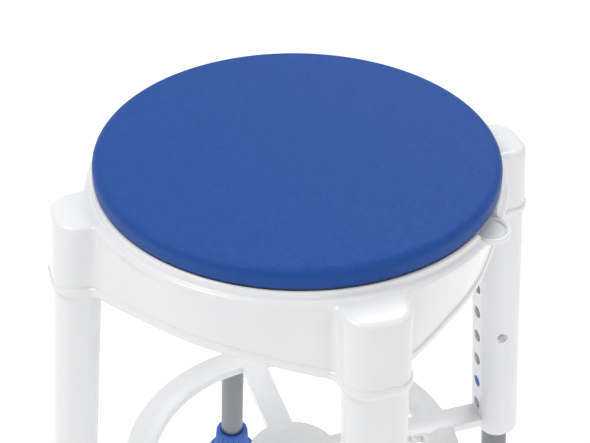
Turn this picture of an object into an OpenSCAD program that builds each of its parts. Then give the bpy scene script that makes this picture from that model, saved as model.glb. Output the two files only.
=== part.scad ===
// Shower stool: a round padded seat that turns on a moulded four-legged frame. Aluminium tubes slide in the
// moulded legs and are held by sprung buttons, and a ring-and-spoke brace ties the legs together.
// Millimetres, +Z up. The origin is on the floor, below the middle of the seat. The front is towards -Y.

/* [Seat] */
// Diameter of the seat pad
pad_d = 330; // [300:1:345]
// Thickness of the seat pad
pad_t = 17; // [14:0.5:30]
// Radius of the pad's rounded upper edge
pad_edge = 8; // [4:0.5:12]
// Gap between the pad and the raised ring of the frame below it
pad_gap = 1.2; // [0.6:0.1:3]
// Diameter of the board moulded into the pad
board_d = 300; // [260:1:306]
// Thickness of the board moulded into the pad
board_t = 6; // [4:0.5:8]
// Number of screws that hold the board to the turntable
pad_screw_count = 6; // [4:1:8]
// Radius of the circle of the pad screws
pad_screw_circle = 76; // [60:1:90]
// Diameter of the turntable plate
turntable_d = 304; // [280:1:308]
// Thickness of the turntable plate
turntable_t = 5; // [5:0.5:8]
// Number of positions in which the lever can hold the seat
lock_positions = 12; // [4:1:12]

/* [Pivot] */
// Diameter of the turntable's journal
journal_d = 44; // [38:1:50]
// Radial clearance of the journal in the frame
journal_clear = 0.06; // [0.02:0.01:0.1]
// Diameter of the pivot bolt
bolt_d = 10; // [8:1:12]
// Outer diameter of both pivot washers
washer_d = 60; // [56:1:66]
// Thickness of the nylon thrust washer
thrust_washer_t = 1.8; // [1.5:0.1:3]
// Thickness of the steel washer
steel_washer_t = 2.5; // [2:0.5:4]
// Clearance at every face that turns or slides on another
run_gap = 0.3; // [0.2:0.05:0.5]

/* [Frame] */
// Height of the frame's top face above the floor
frame_top = 548; // [500:1:580]
// Height of the frame's side
frame_h = 64; // [52:1:70]
// Width across the middle of two opposite sides, at the lower edge
frame_w = 315; // [305:1:335]
// Radius of the bowed sides, seen from above
side_r = 500; // [450:5:600]
// Diameter of the round upper edge
top_d = 343; // [336:1:352]
// Diameter that trims the corners between the legs' bosses, at the lower edge
trim_d = 368; // [360:1:376]
// Wall thickness of the moulding
wall = 3.2; // [2.6:0.1:4]
// Thickness of the top plate
plate_t = 3.6; // [3:0.1:5]
// Height of the lip round the lower edge
lip_h = 7; // [5:0.5:9]
// How far the lip stands out
lip_out = 1.5; // [1:0.25:2.5]
// Height of the raised ring round the turntable
ring_h = 7; // [6:0.5:9]
// Wall of the raised ring
ring_wall = 4; // [3:0.5:6]
// How far the raised ring stands out past the pad
ring_proud = 1.8; // [1:0.1:3]
// Depth of the ribs under the top plate
rib_h = 18; // [12:1:22]
// Thickness of the ribs
rib_t = 3; // [2:0.5:4]

/* [Glide ring] */
// Mean diameter of the glide ring that carries the turntable
glide_d = 210; // [190:1:216]
// Width of the glide ring
glide_w = 12; // [8:1:16]
// Height of the glide ring above the frame's top face
glide_proud = 1.2; // [0.8:0.1:2]
// Depth of the glide ring's seat in the top plate
glide_seat = 1.6; // [1:0.1:2]

/* [Release lever] */
// Width of the lever's paddle
paddle_w = 33; // [28:1:38]
// How far the paddle's tip is from the seat's middle
paddle_reach = 183; // [178:1:188]
// Thickness of the paddle
paddle_t = 5; // [4:0.5:6]
// Depth of the finger recess in the paddle
paddle_dish = 1.4; // [1:0.1:2]
// Width of the lever's arm
arm_w = 22; // [18:1:26]
// Distance of the lever's tooth from the seat's middle
tooth_pos = 126; // [120:0.5:128]
// Length and width of the tooth
tooth_size = 8; // [6:0.5:10]
// Clearance round the tooth in its notch
tooth_clear = 0.8; // [0.5:0.1:1.2]
// Distance of the lever's pin from the seat's middle
pin_pos = 148; // [144:0.5:152]
// Diameter of the lever's pin
pin_d = 4; // [3:0.5:5]
// Travel of the lever in degrees
lever_travel = 9; // [7:0.5:10]

/* [Legs] */
// Distance of each leg's axis from the seat's middle, at the frame's lower edge
leg_pos = 187; // [184:0.5:192]
// Outward slope of the legs in degrees
splay = 5.6; // [0:0.1:8]
// Width of a leg across the diagonal
leg_w = 50; // [44:1:54]
// Depth of a leg along the diagonal
leg_d = 38; // [35:1:42]
// Corner radius of a leg's section
leg_corner = 17; // [10:0.5:18]
// Wall of a leg
leg_wall = 3; // [2.5:0.1:4]
// Length of a leg below the frame
leg_len = 277; // [260:1:285]
// How far a boss of the frame stands out past the leg below it
boss_over = 2; // [1:0.25:3]
// Clearance of a leg's tongue in its boss
tongue_clear = 0.2; // [0.1:0.05:0.4]
// Diameter of the height holes
hole_d = 12.5; // [10:0.5:14]
// Distance between the height holes
hole_pitch = 30; // [26:0.5:32]
// Number of height holes
hole_count = 7; // [5:1:8]
// Distance of the lowest hole above the leg's lower end
hole_low = 31; // [24:1:34]
// Number of the hole that holds the tube, counted from the lowest
hole_used = 2; // [1:1:3]
// Distance of the small screw below the frame
side_screw_pos = 144; // [120:1:170]
// Diameter of the recess of the small screw
side_screw_recess = 11; // [9:0.5:13]

/* [Tubes and feet] */
// Outer diameter of a tube
tube_d = 25; // [22:0.5:28]
// Wall of a tube
tube_wall = 1.5; // [1.2:0.1:2]
// Radial clearance of a tube in its leg
tube_clear = 0.08; // [0.03:0.01:0.1]
// Length of a tube above its button
tube_above = 70; // [50:1:90]
// Height of a foot
foot_h = 41; // [36:1:50]
// Diameter of a foot's sleeve at its top
foot_sleeve_d = 37; // [33:1:42]
// Diameter of a foot on the floor
foot_base_d = 56; // [48:1:64]
// Thickness of the foot under the tube
foot_sole = 8; // [5:0.5:12]
// Number of grip ribs round a foot
foot_ribs = 18; // [10:1:24]

/* [Buttons] */
// Travel of a button when it is pressed
button_travel = 7.4; // [6.5:0.1:8]
// Clearance round a button
button_clear = 0.25; // [0.15:0.05:0.4]
// How far a button stands out of its leg
button_proud = 1.2; // [0.5:0.1:2]
// Thickness of a button's flange inside the tube
button_flange_t = 1.5; // [1:0.1:2]
// Thickness of a button's leaf spring
spring_t = 0.6; // [0.4:0.1:1]

/* [Brace] */
// Height of the brace's top face below the frame's top face
brace_drop = 323; // [300:1:330]
// Thickness of the brace
brace_t = 9; // [7:0.5:12]
// Outer diameter of the brace's ring
brace_od = 324; // [310:1:334]
// Inner diameter of the brace's ring
brace_id = 267; // [250:1:280]
// Diameter of the brace's hub
hub_d = 87; // [74:1:96]
// Diameter of the raised step on the hub
hub_step_d = 58; // [50:1:62]
// Diameter of the boss in the middle of the hub
hub_boss_d = 34; // [28:1:40]
// Height of each step of the hub
hub_step_h = 2.5; // [1.5:0.5:4]
// Width of a spoke
spoke_w = 25; // [20:1:30]
// Height of the ridge along the middle of a spoke
ridge_h = 2; // [1:0.5:3]
// Width of the ridge along the middle of a spoke
ridge_w = 5; // [3:0.5:8]
// Width of the tongue that joins a spoke to its leg
spoke_tongue_w = 14; // [10:1:18]
// Wall of a leg left between a spoke's tongue and the tube's bore
spoke_tongue_skin = 2.4; // [2:0.1:3]

/* [Hidden] */
$fn = 96;
eps = 0.02;
// each corner's name and its direction from the middle of the seat, in degrees
CORNERS = [["front_left", 225], ["front_right", 315], ["back_right", 45], ["back_left", 135]];
SINGLE_NODES = [
    "seat_pad", "pad_board", "pad_screws", "turntable", "pivot_bolt", "steel_washer", "pivot_nut",
    "seat_frame", "glide_ring", "thrust_washer", "release_lever", "lever_pin", "lever_spring",
    "frame_screws", "leg_side_screws", "brace"
];
CORNER_NODES = ["leg", "tube", "foot", "button", "button_spring"];

// seat, from the frame's top face upwards
ring_r = pad_d / 2 + ring_proud;
turntable_z = frame_top + glide_proud + run_gap;
board_z = turntable_z + turntable_t;
pad_z = frame_top + ring_h + pad_gap;
pad_screw_d = 4;
pad_screw_head_d = 8;
pad_screw_l = turntable_t + board_t - 3.5;
notch_size = tooth_size + 2 * tooth_clear;

// pivot, from the frame's top face downwards
pivot_boss_h = 34;
pivot_boss_d = washer_d - 2;
thrust_z = frame_top - pivot_boss_h - thrust_washer_t;
steel_washer_z = thrust_z - run_gap - steel_washer_t;
nut_h = 8;
nut_af = 17;
nut_z = steel_washer_z - nut_h;
bolt_head_h = 6.4;
bolt_head_z = board_z - 0.4 - bolt_head_h;
bolt_end_z = nut_z - 1;

// legs, along their own axes from the frame's lower edge
frame_low = frame_top - frame_h;
bore_r = tube_d / 2 + tube_clear;
tongue_h = frame_h - plate_t - 0.4;
hole_zs = [for (n = [0:hole_count - 1]) -leg_len + hole_low + n * hole_pitch];
button_z = hole_zs[hole_used - 1];
land_low_h = 22;
tube_top = button_z + tube_above;
tube_lift = (hole_count - hole_used) * hole_pitch;
bore_top = tube_top + tube_lift + 8;
sole_z = -(frame_low - foot_sole) / cos(splay);
foot_top = -(frame_low - foot_h) / cos(splay);
floor_z = -frame_low / cos(splay);
side_screw_d = 4;
frame_screw_d = 6;
frame_screw_head_d = 12;
frame_screw_l = 14;
frame_screw_drop = rib_h + frame_screw_head_d / 2 + 1;

// buttons, as distances from the tube's axis towards the middle of the seat
button_r = hole_d / 2 - button_clear;
button_tip = leg_d / 2 + button_proud;
flange_r = button_r + 1.2;
flange_out = sqrt(pow(tube_d / 2 - tube_wall, 2) - pow(flange_r, 2)) - 0.1;
flange_in = flange_out - button_flange_t;
tube_inner_r = tube_d / 2 - tube_wall;

// brace
brace_z = frame_top - brace_drop - brace_t;
brace_leg_r = leg_pos + (frame_low - brace_z - brace_t / 2) * tan(splay);
spoke_tongue_l = leg_d / 2 - bore_r - spoke_tongue_skin;
slot_web_w = 26;
slot_size = [8, 10];
slot_az = 36;

// release lever
lever_top = frame_top;
lever_low = lever_top - paddle_t;
pin_z = lever_low + paddle_t / 2;
arm_in = tooth_pos - tooth_size / 2 - 2;
// the tooth clears the turntable when the lever is at the end of its travel
tooth_drop = (pin_pos - tooth_pos - tooth_size / 2) * sin(lever_travel);
tooth_top = pin_z + (turntable_z - run_gap - pin_z + tooth_drop) / cos(lever_travel);
pocket_side = 1;
pocket_floor = lever_low - (pin_pos - arm_in) * sin(lever_travel) - 1;
housing_wall = 2.4;
paddle_len = 30;
paddle_in = paddle_reach - paddle_len;

pad_color = "royalblue";
plastic_color = "whitesmoke";
shade_color = "gainsboro";
metal_color = "silver";
trim_color = "dodgerblue";

// a rectangle with round corners, from squares and circles: d along X, w along Y
module rounded_rect(d, w, r) {
    square([d - 2 * r, w], center = true);
    square([d, w - 2 * r], center = true);
    for (x = [-1, 1], y = [-1, 1]) translate([x * (d / 2 - r), y * (w / 2 - r)]) circle(r);
}

// a leg's section, grown all round by the given amount
module leg_section(grow) {
    rounded_rect(leg_d + 2 * grow, leg_w + 2 * grow, leg_corner + grow);
}

// a ring from one radius to another
module tube_ring(r_out, r_in, h) {
    difference() {
        cylinder(r = r_out, h = h);
        translate([0, 0, -1]) cylinder(r = r_in, h = h + 2);
    }
}

// the frame of a corner: origin where the leg's axis meets the frame's lower edge, X outwards
module at_corner(az) {
    rotate([0, 0, az]) translate([leg_pos, 0, frame_low]) children();
}

// the frame of a leg: as at_corner, with Z up along the sloping leg
module along_leg(az) {
    at_corner(az) rotate([0, -splay, 0]) children();
}

// the frame's bowed square
module bowed_square(grow) {
    intersection_for (a = [0:90:270])
        rotate([0, 0, a]) translate([frame_w / 2 - side_r, 0]) circle(side_r + grow, $fn = 200);
}

// the frame's body without its bosses, grown all round, from a height above its lower edge to its top
module frame_core(grow, z_from) {
    h = frame_h - z_from;
    slope_in = (top_d - frame_w) / 2 / frame_h;
    slope_out = (trim_d - top_d) / 2 / frame_h;
    translate([0, 0, frame_low + z_from]) {
        cylinder(r1 = frame_w / 2 + slope_in * z_from + grow, r2 = top_d / 2 + grow, h = h);
        intersection() {
            linear_extrude(h) bowed_square(grow);
            cylinder(r1 = trim_d / 2 - slope_out * z_from + grow, r2 = top_d / 2 + grow, h = h);
        }
    }
}

// the four bosses over the legs, grown all round
module bosses(grow, z, h) {
    for (c = CORNERS) at_corner(c[1]) translate([0, 0, z]) linear_extrude(h) leg_section(boss_over + grow);
}

// one round-headed screw along -Z, with its head's underside at the origin
module screw(d, head_d, head_h, l) {
    translate([0, 0, -l]) cylinder(d = d, h = l + eps);
    cylinder(d = head_d, h = head_h);
}

module seat_pad() {
    r = pad_d / 2;
    color(pad_color) difference() {
        translate([0, 0, pad_z]) rotate_extrude() {
            square([r - pad_edge, pad_t]);
            square([r, pad_t - pad_edge]);
            translate([r - pad_edge, pad_t - pad_edge]) circle(pad_edge);
        }
        translate([0, 0, pad_z - 1]) cylinder(d = board_d, h = board_z + board_t - pad_z + 1);
    }
}

module pad_board() {
    color("burlywood") difference() {
        translate([0, 0, board_z]) cylinder(d = board_d, h = board_t);
        pad_screw_places() translate([0, 0, -pad_screw_l]) cylinder(d = pad_screw_d, h = pad_screw_l);
    }
}

module pad_screw_places() {
    for (n = [0:pad_screw_count - 1])
        rotate([0, 0, (n + 0.5) * 360 / pad_screw_count])
            translate([pad_screw_circle, 0, turntable_z + 2]) rotate([180, 0, 0]) children();
}

module pad_screws() {
    color(metal_color) pad_screw_places() screw(pad_screw_d, pad_screw_head_d, 1.8, pad_screw_l);
}

module turntable() {
    color(plastic_color) difference() {
        union() {
            translate([0, 0, turntable_z]) cylinder(d = turntable_d, h = turntable_t);
            translate([0, 0, thrust_z - run_gap])
                cylinder(d = journal_d, h = turntable_z - thrust_z + run_gap + eps);
        }
        translate([0, 0, thrust_z - run_gap - 1]) cylinder(d = bolt_d, h = frame_h);
        translate([0, 0, bolt_head_z]) cylinder(d = nut_af * 2 / sqrt(3), h = bolt_head_h + 1, $fn = 6);
        for (n = [0:lock_positions - 1]) rotate([0, 0, n * 360 / lock_positions])
            translate([tooth_pos - notch_size / 2, -notch_size / 2, turntable_z - 1])
                cube([notch_size, notch_size, tooth_top + tooth_clear / 2 - turntable_z + 1]);
        pad_screw_places() {
            translate([0, 0, -pad_screw_l]) cylinder(d = pad_screw_d, h = pad_screw_l + 1);
            cylinder(d = pad_screw_head_d, h = 4);
        }
    }
}

module pivot_bolt() {
    color(metal_color) {
        translate([0, 0, bolt_end_z]) cylinder(d = bolt_d, h = bolt_head_z - bolt_end_z + eps);
        translate([0, 0, bolt_head_z]) cylinder(d = nut_af * 2 / sqrt(3), h = bolt_head_h, $fn = 6);
    }
}

module steel_washer() {
    color(metal_color) translate([0, 0, steel_washer_z])
        tube_ring(washer_d / 2, bolt_d / 2, steel_washer_t);
}

module pivot_nut() {
    color(metal_color) translate([0, 0, nut_z]) difference() {
        cylinder(d = nut_af * 2 / sqrt(3), h = nut_h, $fn = 6);
        translate([0, 0, -1]) cylinder(d = bolt_d, h = nut_h + 2);
    }
}

module thrust_washer() {
    color(shade_color) translate([0, 0, thrust_z])
        tube_ring(washer_d / 2, journal_d / 2 + run_gap, thrust_washer_t);
}

module glide_ring() {
    color(shade_color) translate([0, 0, frame_top - glide_seat])
        tube_ring((glide_d + glide_w) / 2, (glide_d - glide_w) / 2, glide_seat + glide_proud);
}

// the space that the lever moves in, grown all round
module lever_pocket(grow) {
    x0 = arm_in - pocket_side - grow;
    x1 = top_d / 2 - wall - 2;
    z0 = pocket_floor - grow;
    translate([x0, -arm_w / 2 - pocket_side - grow, z0])
        cube([x1 + grow - x0, arm_w + 2 * pocket_side + 2 * grow, frame_top - z0 + (grow > 0 ? 0 : 1)]);
}

// the paddle's outline: a rounded tab that is widest where it leaves the frame
module paddle_outline(shrink) {
    tip = paddle_w / 2;
    intersection() {
        translate([paddle_reach - tip - paddle_len / 2, 0])
            square([paddle_len, paddle_w - 2 * shrink], center = true);
        translate([paddle_in + shrink, -paddle_w / 2]) square([paddle_len, paddle_w]);
    }
    translate([paddle_reach - tip, 0]) circle(tip - shrink);
}

module seat_frame() {
    color(plastic_color) difference() {
        union() {
            difference() {
                union() {
                    frame_core(0, 0);
                    bosses(0, 0, frame_h);
                    intersection() {
                        frame_core(lip_out, 0);
                        translate([0, 0, frame_low]) cylinder(d = trim_d + 20, h = lip_h);
                    }
                    bosses(lip_out, 0, lip_h);
                }
                difference() {
                    translate([0, 0, -plate_t]) frame_core(-wall, -1);
                    bosses(0, 0, frame_h);
                }
                bosses(-wall, -1, tongue_h + 1.4);
            }
            translate([0, 0, frame_top - eps]) tube_ring(ring_r, ring_r - ring_wall, ring_h + eps);
            frame_ribs();
            intersection() {
                lever_pocket(housing_wall);
                frame_core(-wall / 2, 0);
            }
        }
        translate([0, 0, frame_low - 1]) cylinder(r = journal_d / 2 + journal_clear, h = frame_h + 2);
        translate([0, 0, frame_top - glide_seat])
            tube_ring((glide_d + glide_w) / 2, (glide_d - glide_w) / 2, glide_seat + 1);
        lever_pocket(0);
        paddle_gap();
        translate([pin_pos, 0, pin_z]) rotate([90, 0, 0])
            cylinder(d = pin_d, h = arm_w + 2 * pocket_side + 2 * housing_wall - 1, center = true);
        for (c = CORNERS) frame_screw_place(c[1])
            translate([0, 0, -wall - 1]) cylinder(d = frame_screw_d, h = wall + 2);
    }
}

// the gap for the paddle in the raised ring and in the frame's upper edge
module paddle_gap() {
    translate([0, 0, lever_low - 1.2]) linear_extrude(ring_h + paddle_t + 4) {
        translate([paddle_in - 1.5, -paddle_w / 2 - 1]) square([paddle_len + 6, paddle_w + 2]);
    }
}

// ribs from the pivot boss to the corners, and the pivot boss itself
module frame_ribs() {
    translate([0, 0, frame_top - pivot_boss_h]) cylinder(d = pivot_boss_d, h = pivot_boss_h - eps);
    for (c = CORNERS) rotate([0, 0, c[1]])
        translate([pivot_boss_d / 2 - 2, -rib_t / 2, frame_top - rib_h])
            cube([leg_pos - leg_d / 2 - boss_over - pivot_boss_d / 2 + 3, rib_t, rib_h - 1]);
}

// the screw that holds a leg's tongue, driven outwards from under the frame
module frame_screw_place(az) {
    at_corner(az) translate([-leg_d / 2 - boss_over, 0, frame_h - frame_screw_drop])
        rotate([0, -90, 0]) children();
}

module frame_screws() {
    color(metal_color) for (c = CORNERS) frame_screw_place(c[1])
        screw(frame_screw_d, frame_screw_head_d, 3, frame_screw_l);
}

module leg(az) {
    tongue = boss_over - wall - tongue_clear;
    color(plastic_color) difference() {
        union() {
            intersection() {
                along_leg(az) translate([0, 0, -leg_len]) linear_extrude(leg_len + 20) leg_section(0);
                at_corner(az) translate([0, 0, -leg_len - 20]) cylinder(r = leg_w, h = leg_len + 20);
            }
            at_corner(az) translate([0, 0, -eps]) linear_extrude(tongue_h + eps) leg_section(tongue);
        }
        along_leg(az) {
            translate([0, 0, -leg_len - 1]) cylinder(r = bore_r, h = leg_len + bore_top + 1);
            leg_hollow();
            for (z = hole_zs) translate([0, 0, z]) rotate([0, -90, 0]) cylinder(d = hole_d, h = leg_d);
        }
        spoke_end(az, tongue_clear);
        side_screw_place(az) {
            cylinder(d = side_screw_recess, h = 10);
            translate([0, 0, -9]) cylinder(d = side_screw_d, h = 10);
        }
        frame_screw_place(az)
            translate([0, 0, -frame_screw_l - 1]) cylinder(d = frame_screw_d, h = frame_screw_l);
    }
}

// the hollow on both sides of a leg's bore, between its walls, the row of holes and its two lands
module leg_hollow() {
    spine = hole_d + 6;
    h = leg_len - land_low_h - 14;
    translate([0, 0, -leg_len + land_low_h]) linear_extrude(h) difference() {
        leg_section(-leg_wall);
        translate([-leg_d / 2 - bore_r / 2, 0]) square([leg_d, spine], center = true);
        translate([leg_d / 2, 0]) square([leg_d / 2, spine], center = true);
        translate([0, -leg_w / 2]) square([leg_d, 13], center = true);
    }
}

// the recessed screw on a leg's flank
module side_screw_place(az) {
    along_leg(az) translate([-5, -leg_w / 2 + 1.6, -side_screw_pos]) rotate([90, 0, 0]) children();
}

module leg_side_screws() {
    color(metal_color) for (c = CORNERS) side_screw_place(c[1]) screw(side_screw_d, 7, 1, 7);
}

module tube(az) {
    color(metal_color) along_leg(az) difference() {
        translate([0, 0, sole_z]) tube_ring(tube_d / 2, tube_inner_r, tube_top - sole_z);
        translate([0, 0, button_z]) rotate([0, -90, 0]) cylinder(d = hole_d, h = tube_d);
    }
}

module foot(az) {
    rib_r = 1.6;
    base_h = 7;
    color(trim_color) difference() {
        union() {
            intersection() {
                along_leg(az) translate([0, 0, floor_z - 5]) {
                    h = foot_top - floor_z + 5;
                    cylinder(d1 = foot_sleeve_d + 6, d2 = foot_sleeve_d - 2 * rib_r, h = h);
                    for (n = [0:foot_ribs - 1]) rotate([0, 0, n * 360 / foot_ribs])
                        translate([foot_sleeve_d / 2 - rib_r, 0, 0]) cylinder(r = rib_r, h = h);
                }
                translate([0, 0, 0.5]) cylinder(r = leg_pos * 2, h = foot_h * 2);
            }
            foot_base_place(az) {
                cylinder(d = foot_base_d, h = base_h - 3);
                translate([0, 0, base_h - 3]) cylinder(d1 = foot_base_d, d2 = foot_sleeve_d + 5, h = base_h);
            }
        }
        along_leg(az) translate([0, 0, sole_z]) cylinder(d = tube_d, h = foot_h * 2);
    }
}

// the point of the floor under a foot
module foot_base_place(az) {
    rotate([0, 0, az]) translate([leg_pos + frame_low * tan(splay), 0, 0]) children();
}

module button(az) {
    color(trim_color) along_leg(az) translate([0, 0, button_z]) rotate([0, -90, 0]) {
        translate([0, 0, flange_in]) cylinder(r = button_r, h = button_tip - flange_in - 1.5);
        translate([0, 0, button_tip - 1.5]) cylinder(r1 = button_r, r2 = button_r - 1.5, h = 1.5);
        translate([0, 0, flange_in]) cylinder(r = flange_r, h = button_flange_t);
    }
}

// a leaf spring bent into a U between the button's flange and the tube's far wall
module button_spring(az) {
    back = -tube_inner_r + 1.1;
    leaf_w = 7;
    leaf_l = 24;
    bend_r = (flange_in - back) / 2;
    color("dimgray") along_leg(az) translate([0, 0, button_z]) rotate([0, -90, 0])
        rotate([90, 0, 0]) translate([0, 0, -leaf_w / 2]) linear_extrude(leaf_w) {
            translate([-5, flange_in - spring_t]) square([leaf_l, spring_t]);
            translate([-5, back]) square([leaf_l, spring_t]);
            translate([leaf_l - 5, (flange_in + back) / 2]) difference() {
                circle(bend_r);
                circle(bend_r - spring_t);
                translate([-bend_r - 1, -bend_r - 1]) square([bend_r + 1, 2 * bend_r + 2]);
            }
        }
}

module release_lever() {
    color(plastic_color) difference() {
        union() {
            translate([0, 0, lever_low]) linear_extrude(paddle_t) paddle_outline(0);
            translate([arm_in, -arm_w / 2, lever_low]) cube([paddle_in - arm_in + 1, arm_w, paddle_t]);
            translate([tooth_pos - tooth_size / 2, -tooth_size / 2, lever_top - eps])
                cube([tooth_size, tooth_size, tooth_top - lever_top + eps]);
        }
        translate([0, 0, lever_top - paddle_dish]) linear_extrude(paddle_dish + 1) intersection() {
            paddle_outline(3.2);
            translate([pin_pos + pin_d, -paddle_w / 2]) square([paddle_len * 2, paddle_w]);
        }
        translate([pin_pos, 0, pin_z]) rotate([90, 0, 0])
            cylinder(d = pin_d + 0.1, h = paddle_w + 2, center = true);
    }
}

module lever_pin() {
    color(metal_color) translate([pin_pos, 0, pin_z]) rotate([90, 0, 0])
        cylinder(d = pin_d, h = arm_w + 2 * pocket_side + 2 * housing_wall - 1, center = true);
}

// a compression spring under the arm's inner end, as a sleeve of its outer and inner diameter
module lever_spring() {
    color("dimgray") translate([tooth_pos, 0, pocket_floor]) tube_ring(3.2, 2.4, lever_low - pocket_floor);
}

// a spoke's end inside its leg, with the given clearance
module spoke_end(az, clear) {
    w = spoke_tongue_w + 2 * clear;
    l = spoke_tongue_l + clear;
    rotate([0, 0, az]) translate([brace_leg_r - leg_d / 2 - 3, -w / 2, brace_z + 1 - clear])
        cube([l + 3, w, brace_t - 2 + 2 * clear]);
}

// the brace's flat outline: ring, hub, spokes and two slotted webs beside the right-hand spokes
module brace_outline() {
    difference() {
        union() {
            difference() {
                circle(d = brace_od);
                circle(d = brace_id);
            }
            circle(d = hub_d);
            for (c = CORNERS) rotate(c[1])
                translate([0, -spoke_w / 2]) square([brace_leg_r, spoke_w]);
            for (side = [-1, 1]) slot_place(side)
                translate([slot_size[0] / 2, 0]) square([slot_size[0] * 2, slot_web_w], center = true);
        }
        for (side = [-1, 1]) slot_place(side) square(slot_size, center = true);
    }
}

module slot_place(side) {
    rotate(side * slot_az) translate([brace_id / 2 - slot_size[0], 0]) children();
}

module brace() {
    ridge_in = hub_step_d / 2 + 6;
    ridge_out = brace_leg_r - button_tip - ridge_h;
    color(plastic_color) {
        difference() {
            union() {
                translate([0, 0, brace_z]) linear_extrude(brace_t) brace_outline();
                translate([0, 0, brace_z + 1]) {
                    cylinder(d = hub_step_d, h = brace_t - 1 + hub_step_h);
                    cylinder(d = hub_boss_d, h = brace_t - 1 + 2 * hub_step_h);
                    for (c = CORNERS) rotate([0, 0, c[1]]) translate([ridge_in, -ridge_w / 2, 0])
                        cube([ridge_out - ridge_in, ridge_w, brace_t - 1 + ridge_h]);
                }
            }
            for (c = CORNERS) along_leg(c[1])
                translate([0, 0, -leg_len - 20]) linear_extrude(leg_len) leg_section(run_gap / 2);
        }
        for (c = CORNERS) spoke_end(c[1], 0);
    }
}

seat_pad();
pad_board();
pad_screws();
turntable();
pivot_bolt();
steel_washer();
pivot_nut();
seat_frame();
glide_ring();
thrust_washer();
release_lever();
lever_pin();
lever_spring();
frame_screws();
leg_side_screws();
brace();
for (c = CORNERS) {
    leg(c[1]);
    tube(c[1]);
    foot(c[1]);
    button(c[1]);
    button_spring(c[1]);
}
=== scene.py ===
"""Looks of the shower stool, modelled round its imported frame.

Metres, +Z up, with the floor at Z = 0 and the seat's swivel axis on the Z axis. Each sub-assembly is a class
that holds its sizes, builds its meshes and dresses them in their finishes.
"""

from __future__ import annotations

import logging
import math
from dataclasses import dataclass
from enum import Enum
from typing import Callable, Optional, Sequence

import bpy
import numpy as np
from mathutils import Matrix, Vector

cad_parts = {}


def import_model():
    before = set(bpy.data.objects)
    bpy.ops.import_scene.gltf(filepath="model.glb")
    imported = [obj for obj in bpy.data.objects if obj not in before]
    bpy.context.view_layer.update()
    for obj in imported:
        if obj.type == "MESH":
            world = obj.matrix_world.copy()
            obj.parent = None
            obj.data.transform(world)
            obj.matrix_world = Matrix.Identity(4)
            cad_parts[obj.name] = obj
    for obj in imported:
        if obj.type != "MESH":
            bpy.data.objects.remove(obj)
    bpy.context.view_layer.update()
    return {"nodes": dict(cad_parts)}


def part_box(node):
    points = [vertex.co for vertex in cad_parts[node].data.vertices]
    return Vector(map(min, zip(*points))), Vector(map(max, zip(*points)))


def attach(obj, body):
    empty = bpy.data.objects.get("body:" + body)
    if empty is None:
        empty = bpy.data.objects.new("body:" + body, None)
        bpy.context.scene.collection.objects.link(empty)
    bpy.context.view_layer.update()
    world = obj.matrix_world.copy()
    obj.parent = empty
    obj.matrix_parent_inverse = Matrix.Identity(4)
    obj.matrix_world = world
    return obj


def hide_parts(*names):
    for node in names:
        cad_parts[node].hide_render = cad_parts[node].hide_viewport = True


log = logging.getLogger("shower_stool")
MM = 0.001
CLOSE = 0.1 * MM
TOUCH = 0.01 * MM
FRAME_BODY = "frame"


class Corner(Enum):
    """The four legs, each with the direction of its foot from the seat's axis in degrees."""

    FRONT_LEFT = 225
    FRONT_RIGHT = 315
    BACK_RIGHT = 45
    BACK_LEFT = 135

    @property
    def label(self) -> str:
        """The corner's name as the frame's nodes and bodies write it."""
        return self.name.lower()

    @property
    def turn(self) -> Matrix:
        """The turn from +X to the leg's direction."""
        return Matrix.Rotation(math.radians(self.value), 4, "Z")


# ---------------------------------------------------------------- modelling helpers


def leave_edit() -> None:
    """Goes back to object mode."""
    if bpy.context.mode != "OBJECT":
        bpy.ops.object.mode_set(mode="OBJECT")


def deselect() -> None:
    """Deselects every object, in object mode."""
    leave_edit()
    bpy.ops.object.select_all(action="DESELECT")


def discard(*pieces: bpy.types.Object) -> None:
    """Removes shapes that are no longer needed."""
    for piece in pieces:
        bpy.data.objects.remove(piece, do_unlink=True)


def select_all() -> None:
    """Selects the whole mesh that is open in edit mode."""
    bpy.ops.mesh.select_all(action="SELECT")


def activate(piece: bpy.types.Object) -> None:
    """Makes one piece the only selected and active object."""
    deselect()
    piece.select_set(True)
    bpy.context.view_layer.objects.active = piece


def named(name: str) -> bpy.types.Object:
    """Names the object that an operator has just added, and its mesh.

    Args:
        name: the piece's name.

    Returns:
        The active object.
    """
    piece = bpy.context.active_object
    piece.name = name
    piece.data.name = name
    return piece


def coordinates(piece: bpy.types.Object) -> np.ndarray:
    """Reads a mesh's vertices.

    Returns:
        One row of X, Y and Z for each vertex.
    """
    flat = np.empty(len(piece.data.vertices) * 3, dtype=np.float32)
    piece.data.vertices.foreach_get("co", flat)
    return flat.reshape(-1, 3).astype(float)


def place_vertices(piece: bpy.types.Object, points: np.ndarray) -> None:
    """Moves every vertex of a piece to its new place."""
    piece.data.vertices.foreach_set("co", np.ascontiguousarray(points, dtype=np.float32).ravel())
    piece.data.update()


def edit(piece: bpy.types.Object, mode: str = "VERT") -> None:
    """Opens a piece in edit mode with nothing selected.

    Args:
        piece: the piece to shape.
        mode: what is selected: VERT, EDGE or FACE.
    """
    activate(piece)
    bpy.ops.object.mode_set(mode="EDIT")
    bpy.ops.mesh.select_mode(type=mode)
    bpy.ops.mesh.select_all(action="DESELECT")


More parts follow.
